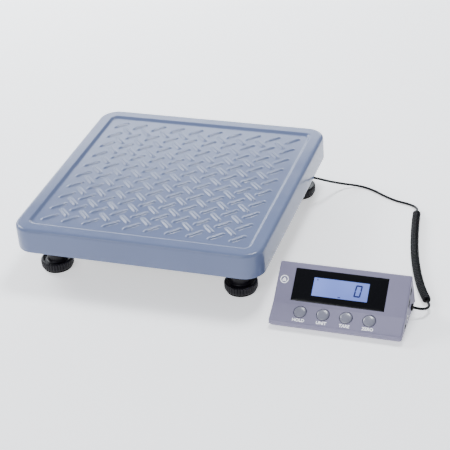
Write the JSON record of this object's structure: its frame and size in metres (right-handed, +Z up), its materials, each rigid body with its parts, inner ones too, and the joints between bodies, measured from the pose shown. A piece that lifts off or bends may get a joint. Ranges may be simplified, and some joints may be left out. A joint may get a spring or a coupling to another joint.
{
  "type": "platform shipping scale",
  "caption": "Low square weighing platform on levelling feet, joined by a curly cord to a wedge-shaped desk display with round keys.",
  "frame": {"origin": "on the floor under the middle of the box round the platform and the display, cord left out", "axes": "+Z up, -Y towards the user, +X from the platform towards the display"},
  "size_m": [0.4797, 0.3256, 0.071],
  "materials": {
    "pan_paint": "gloss enamel",
    "chassis_paint": "satin powder coat",
    "cell_alloy": "anodised, satin",
    "zinc_steel": "zinc plated",
    "black_nylon": "moulded",
    "black_rubber": "matt",
    "cord_sheath": "soft satin",
    "housing_plastic": "fine texture",
    "key_plastic": "smooth satin",
    "window_plastic": "polished",
    "lcd_glass": "lit display",
    "light_plastic": "translucent white",
    "board": "solder resist",
    "contact_steel": "nickel plated",
    "socket_black": "moulded",
    "cell_jacket": "printed jacket"
  },
  "bodies": {
    "base": {"load_cell": "cell_alloy", "lower_spacer": "zinc_steel", "base_screws": "zinc_steel", "base_tray": "chassis_paint", "foot_nuts": "zinc_steel", "overload_stop_screws": "zinc_steel", "overload_stop_nuts": "zinc_steel", "load_cell_cable": "cord_sheath", "cable_clips": "black_nylon", "cord_gland": "black_nylon", "cord_lead_platform": "cord_sheath", "cord_curl": "cord_sheath", "cord_lead_display": "cord_sheath", "display_top_shell": "housing_plastic", "display_bottom_shell": "housing_plastic", "display_window": "window_plastic", "lcd_panel": "lcd_glass", "lcd_backlight": "light_plastic", "main_board": "board", "key_board": "board", "tact_switches": "socket_black", "io_board": "board", "data_sockets": "socket_black", "power_jack": "socket_black", "signal_jack": "contact_steel", "cord_grommet": "black_rubber", "battery_cells": "cell_jacket", "battery_contacts": "contact_steel", "housing_screws": "zinc_steel", "board_screws": "zinc_steel", "display_feet": "black_rubber", "buzzer": "socket_black", "ribbon_cable": "light_plastic"},
    "carrier": {"spider_frame": "chassis_paint", "upper_spacer": "zinc_steel", "spider_screws": "zinc_steel", "pan_pads": "black_rubber"},
    "pan": {"weighing_pan": "pan_paint"},
    "sole_front_left": {"foot_sole_front_left": "black_rubber"},
    "knob_front_left": {"foot_knob_front_left": "black_nylon", "foot_stud_front_left": "zinc_steel"},
    "sole_front_right": {"foot_sole_front_right": "black_rubber"},
    "knob_front_right": {"foot_knob_front_right": "black_nylon", "foot_stud_front_right": "zinc_steel"},
    "sole_rear_left": {"foot_sole_rear_left": "black_rubber"},
    "knob_rear_left": {"foot_knob_rear_left": "black_nylon", "foot_stud_rear_left": "zinc_steel"},
    "sole_rear_right": {"foot_sole_rear_right": "black_rubber"},
    "knob_rear_right": {"foot_knob_rear_right": "black_nylon", "foot_stud_rear_right": "zinc_steel"},
    "button_hold": {"button_hold": "key_plastic"},
    "button_unit": {"button_unit": "key_plastic"},
    "button_tare": {"button_tare": "key_plastic"},
    "button_zero": {"button_zero": "key_plastic"},
    "battery_door": {"battery_door": "housing_plastic"}
  },
  "joints": [
    {"name": "weigh_deflection", "type": "slide", "parent": "base", "child": "carrier", "axis": [0, 0, 1], "range_m": [-0.0005, 0], "stiffness_N_per_m": 60000, "springref_m": 0.0006, "deforming": ["load_cell"]},
    {"name": "pan_lift", "type": "slide", "parent": "carrier", "child": "pan", "axis": [0, 0, 1], "range_m": [0, 0.045]},
    {"name": "foot_level_front_left", "type": "slide", "parent": "base", "child": "sole_front_left", "axis": [0, 0, 1], "range_m": [-0.008, 0.008]},
    {"name": "foot_turn_front_left", "type": "hinge", "parent": "sole_front_left", "child": "knob_front_left", "pos_m": [-0.19475, -0.09975, 0.006], "axis": [0, 0, 1], "range_deg": [-2300, 2300]},
    {"name": "foot_level_front_right", "type": "slide", "parent": "base", "child": "sole_front_right", "axis": [0, 0, 1], "range_m": [-0.008, 0.008]},
    {"name": "foot_turn_front_right", "type": "hinge", "parent": "sole_front_right", "child": "knob_front_right", "pos_m": [0.03325, -0.09975, 0.006], "axis": [0, 0, 1], "range_deg": [-2300, 2300]},
    {"name": "foot_level_rear_left", "type": "slide", "parent": "base", "child": "sole_rear_left", "axis": [0, 0, 1], "range_m": [-0.008, 0.008]},
    {"name": "foot_turn_rear_left", "type": "hinge", "parent": "sole_rear_left", "child": "knob_rear_left", "pos_m": [-0.20475, 0.11875, 0.006], "axis": [0, 0, 1], "range_deg": [-2300, 2300]},
    {"name": "foot_level_rear_right", "type": "slide", "parent": "base", "child": "sole_rear_right", "axis": [0, 0, 1], "range_m": [-0.008, 0.008]},
    {"name": "foot_turn_rear_right", "type": "hinge", "parent": "sole_rear_right", "child": "knob_rear_right", "pos_m": [0.04325, 0.11875, 0.006], "axis": [0, 0, 1], "range_deg": [-2300, 2300]},
    {"name": "button_hold_press", "type": "slide", "parent": "base", "child": "button_hold", "axis": [0, 0.4384, -0.8988], "range_m": [0, 0.001], "stiffness_N_per_m": 1200, "springref_m": -0.0004},
    {"name": "button_unit_press", "type": "slide", "parent": "base", "child": "button_unit", "axis": [0, 0.4384, -0.8988], "range_m": [0, 0.001], "stiffness_N_per_m": 1200, "springref_m": -0.0004},
    {"name": "button_tare_press", "type": "slide", "parent": "base", "child": "button_tare", "axis": [0, 0.4384, -0.8988], "range_m": [0, 0.001], "stiffness_N_per_m": 1200, "springref_m": -0.0004},
    {"name": "button_zero_press", "type": "slide", "parent": "base", "child": "button_zero", "axis": [0, 0.4384, -0.8988], "range_m": [0, 0.001], "stiffness_N_per_m": 1200, "springref_m": -0.0004},
    {"name": "battery_door_slide", "type": "slide", "parent": "base", "child": "battery_door", "axis": [0, 1, 0], "range_m": [0, 0.04]}
  ],
  "couplings": [
    {"joint": "foot_level_front_left", "follows": "foot_turn_front_left", "m_per_rad": 0.00019894},
    {"joint": "foot_level_front_right", "follows": "foot_turn_front_right", "m_per_rad": 0.00019894},
    {"joint": "foot_level_rear_left", "follows": "foot_turn_rear_left", "m_per_rad": 0.00019894},
    {"joint": "foot_level_rear_right", "follows": "foot_turn_rear_right", "m_per_rad": 0.00019894}
  ]
}
